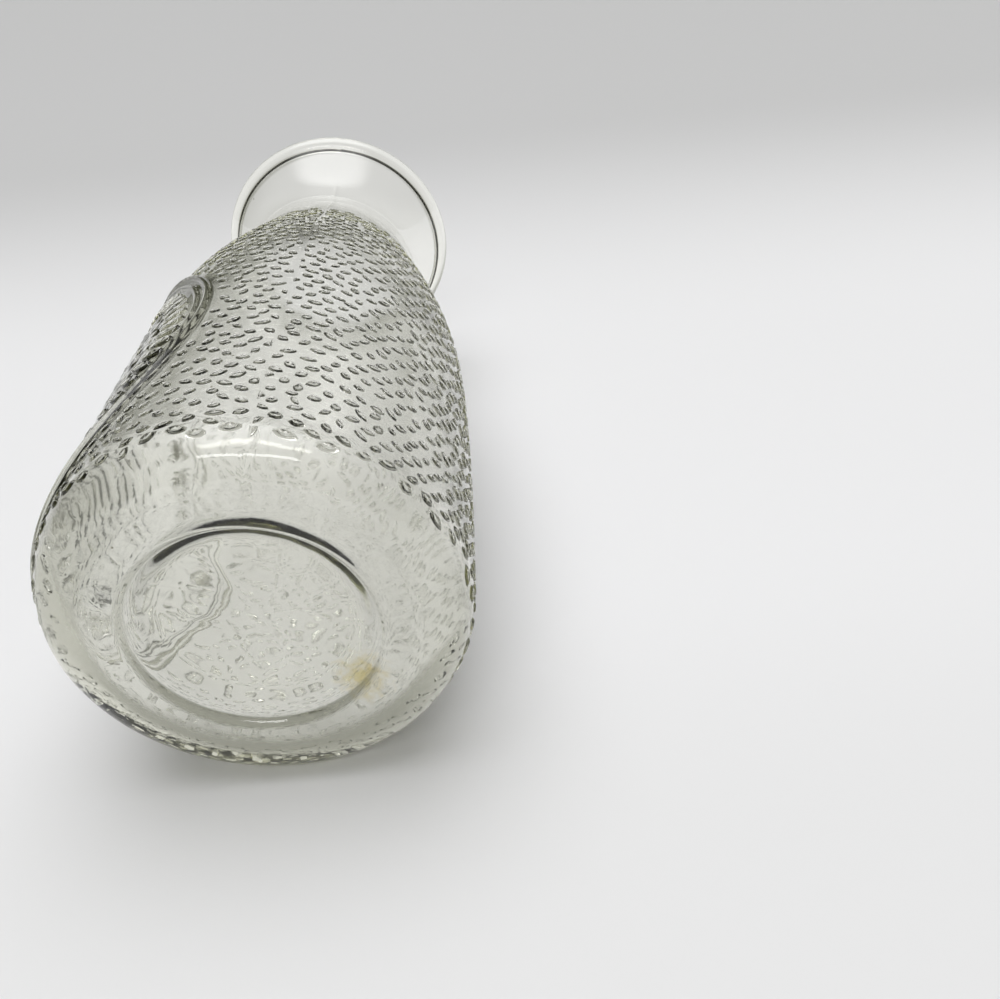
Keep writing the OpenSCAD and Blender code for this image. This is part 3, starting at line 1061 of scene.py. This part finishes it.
def toned(tree, place, first, rows):
    # the first tone passes into each other one along that one's direction
    colour = stage[first]
    for direction, low, high, tone in tones[rows]:
        colour = mixed(tree, along(tree, place, direction, low, high), colour, stage[tone])
    return colour


def onTable(toRight, toAway, toUp):
    # a place given in the table's directions, from its point under the base
    return right * toRight + away * toAway + tableUp * (toUp - lay["below"])


def facing(place, target, upwards):
    # turned so that -Z looks from place to target, with +Y as near upwards as it can be
    back = (place - target).normalized()
    side = upwards.cross(back).normalized()
    return Matrix.Translation(place) @ Matrix((side, back.cross(side), back)).transposed().to_4x4()


def tableMaterial():
    # matt white from above with painted light and shade graded along it, clear from below, and where the
    # glass shows it a painted glow with painted shadows of its own
    material, tree, shader, output = newMaterial("tableWhitePaintedLight")
    place = newNode(tree, "TexCoord").outputs["Object"]
    # painted light and shade: the table's colour changes along the away direction
    colour = toned(tree, place, "table", "table")
    fill(shader, {"Base Color": colour, "Roughness": stage["tableRough"], "Specular IOR Level": 0.0})
    # a painted glow with painted shadows stands in for the lit table where the glass shows it
    paintedGlow = newNode(tree, "Emission", {"Color": toned(tree, place, "shade", "through")})
    path = newNode(tree, "LightPath")
    seen = mathNode(tree, "MULTIPLY", path.outputs["Is Transmission Ray"], stage["paintedGlowShare"])
    above = mixedShader(tree, seen, shader.outputs[0], paintedGlow.outputs[0])
    back = newNode(tree, "NewGeometry").outputs["Backfacing"]
    clear = newNode(tree, "BsdfTransparent").outputs[0]
    fill(output, {"Surface": mixedShader(tree, back, above, clear)})
    return material


def addTable():
    half = stage["half"]
    corners = [onTable(x * half, y * half, 0) for x, y in ((-1, -1), (1, -1), (1, 1), (-1, 1))]
    mesh = bpy.data.meshes.new("table")
    mesh.from_pydata([tuple(c) for c in corners], [], [(0, 1, 2, 3)])
    mesh.materials.append(tableMaterial())
    addObject("table", mesh)


window = {
    "place": (0.0, -1.30, 1.60),
    "size": (1.4, 0.20),
    "power": 6.8,
}


def addWindow():
    # a long narrow lamp in front of the bottle, which the heel mirrors
    light = bpy.data.lights.new("window", "AREA")
    light.shape = "RECTANGLE"
    light.size, light.size_y = window["size"]
    light.energy = window["power"]
    lamp = addObject("window", light)
    lamp.matrix_world = facing(onTable(*window["place"]), onTable(0, 0, 0), tableUp)


def addWorld():
    # the room's tones, and plain pale for the camera
    world = bpy.data.worlds.new("softRoom")
    bpy.context.scene.world = world
    world.use_nodes = True
    tree = world.node_tree
    view = newNode(tree, "TexCoord").outputs["Generated"]
    path = newNode(tree, "LightPath")
    through = mathNode(tree, "MULTIPLY", path.outputs["Is Transmission Ray"], stage["roomShare"])
    seen = mathNode(tree, "MAXIMUM", path.outputs["Is Camera Ray"], through)
    colour = mixed(tree, seen, toned(tree, view, "dark", "room"), stage["background"])
    fill(tree.nodes["Background"], {"Color": colour, "Strength": 1.0})


camera = {
    "place": (0.15461, 0.03108, -0.16524),
    "forward": (-0.57240, 0.08681, 0.81536),
    "upwards": (0.81440, -0.05552, 0.57764),
    "lens": 37.8,
    "sensor": 36.0,
    "clip": (0.01, 50.0),
}


def addCamera():
    data = bpy.data.cameras.new("camera")
    data.lens = camera["lens"]
    data.sensor_width = camera["sensor"]
    data.sensor_fit = "HORIZONTAL"
    data.clip_start, data.clip_end = camera["clip"]
    view = addObject("camera", data)
    place = Vector(camera["place"])
    view.matrix_world = facing(place, place + Vector(camera["forward"]), Vector(camera["upwards"]))
    bpy.context.scene.camera = view


addTable()
addWindow()
addWorld()
addCamera()
bpy.context.scene.view_settings.view_transform = "Standard"
print("stage ready")
